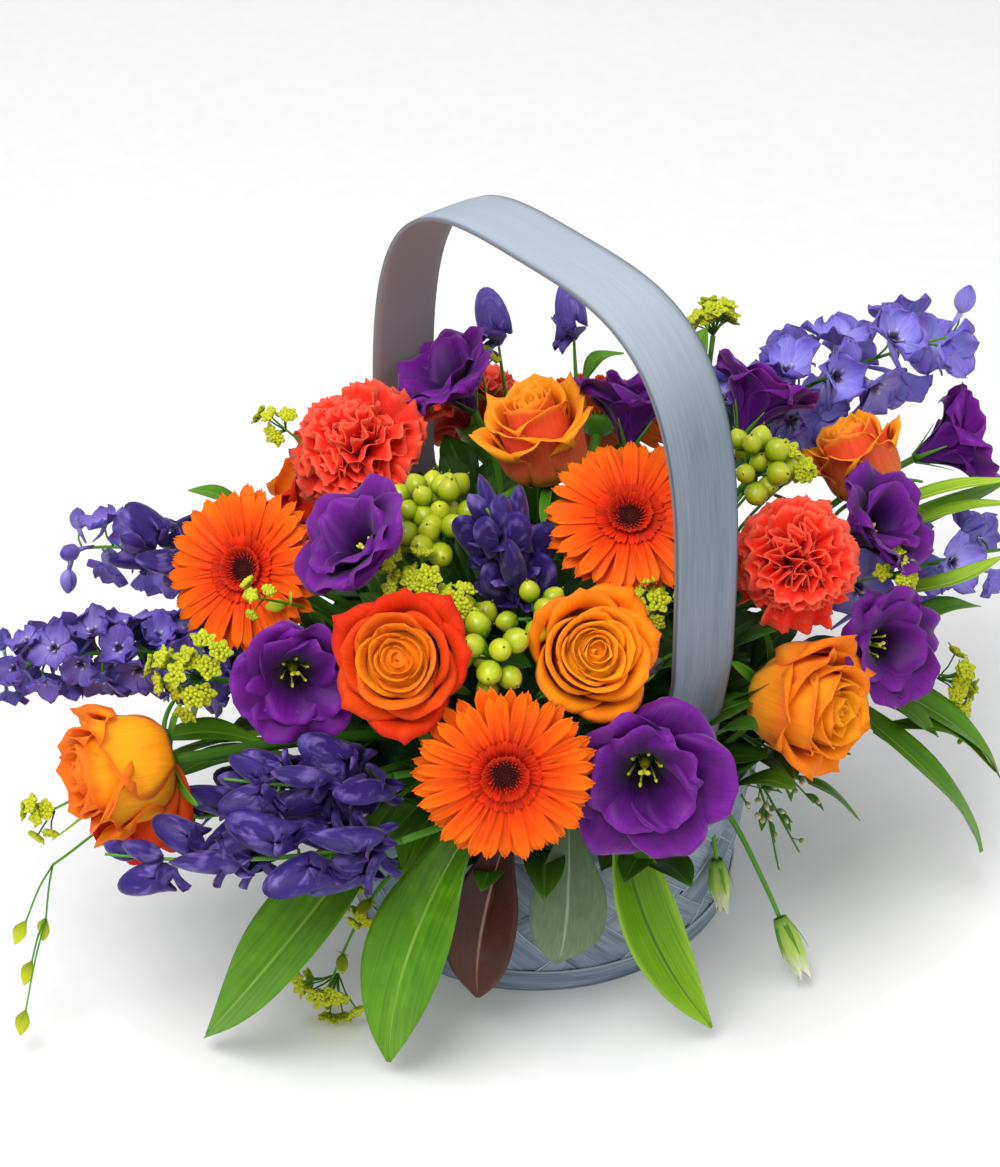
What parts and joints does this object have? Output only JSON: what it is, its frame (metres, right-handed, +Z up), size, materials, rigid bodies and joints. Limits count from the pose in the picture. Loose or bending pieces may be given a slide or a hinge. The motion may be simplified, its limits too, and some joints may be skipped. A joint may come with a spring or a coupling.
{
  "type": "flower basket arrangement",
  "caption": "Low oval chip-wood basket with a hoop handle, filled with foam that holds an arrangement of cut flowers and trailing leaves.",
  "frame": {"origin": "centre of the basket floor's underside, on the surface it stands on", "axes": "+Z up; the handle's hoop stands in the YZ plane; the arrangement is longest along X"},
  "size_m": [0.5913, 0.3709, 0.38],
  "materials": {
    "apricot": "petals, satin",
    "berry": "glossy skin",
    "blue": "petals, satin",
    "bronze": "waxy leaf",
    "coral": "petals, matt",
    "foam": "wet, open-celled",
    "grey_leaf": "waxy leaf",
    "leaf": "waxy leaf",
    "lilac": "petals, satin",
    "lime": "bracts, matt",
    "liner": "moulded, matt",
    "orange": "petals, satin",
    "painted_wood": "washed blue-grey stain, matt",
    "purple": "petals, velvety",
    "red": "petals, satin",
    "steel": "drawn wire"
  },
  "bodies": {
    "root": {"base_band": "painted_wood", "basket_floor": "painted_wood", "basket_wall": "painted_wood", "bupleurum_high": "lime", "bupleurum_left": "lime", "bupleurum_rear": "lime", "carnation_left": "coral", "carnation_rear": "coral", "carnation_right": "coral", "delphinium_behind": "lilac", "delphinium_left": "lilac", "delphinium_rear": "lilac", "delphinium_right": "lilac", "foam": "foam", "gerbera_front": "orange", "gerbera_left": "orange", "gerbera_rear": "orange", "gerbera_right": "orange", "handle": "painted_wood", "hypericum_centre": "berry", "hypericum_front": "berry", "hypericum_right": "berry", "leaf_far_right": "leaf", "leaf_front": "leaf", "leaf_front_bronze": "bronze", "leaf_front_grey": "grey_leaf", "leaf_front_left": "leaf", "leaf_lily": "leaf", "leaf_rear_left": "leaf", "leaf_rear_right": "leaf", "leaf_right_high": "leaf", "leaf_right_low": "leaf", "liner": "liner", "lisianthus_centre": "purple", "lisianthus_far_right": "purple", "lisianthus_front": "purple", "lisianthus_high": "purple", "lisianthus_high_left": "purple", "lisianthus_left": "purple", "lisianthus_low_right": "purple", "lisianthus_mid_right": "purple", "lisianthus_rear": "purple", "lisianthus_right": "purple", "monkshood_centre": "blue", "monkshood_left": "blue", "monkshood_low_front": "blue", "monkshood_low_inner": "blue", "monkshood_low_outer": "blue", "monkshood_tall_left": "blue", "monkshood_tall_right": "blue", "nail_back": "steel", "nail_front": "steel", "rim_band": "painted_wood", "rose_behind": "apricot", "rose_left": "apricot", "rose_middle": "apricot", "rose_rear": "red", "rose_red": "red", "rose_right": "apricot", "rose_top": "apricot"}
  },
  "joints": []
}
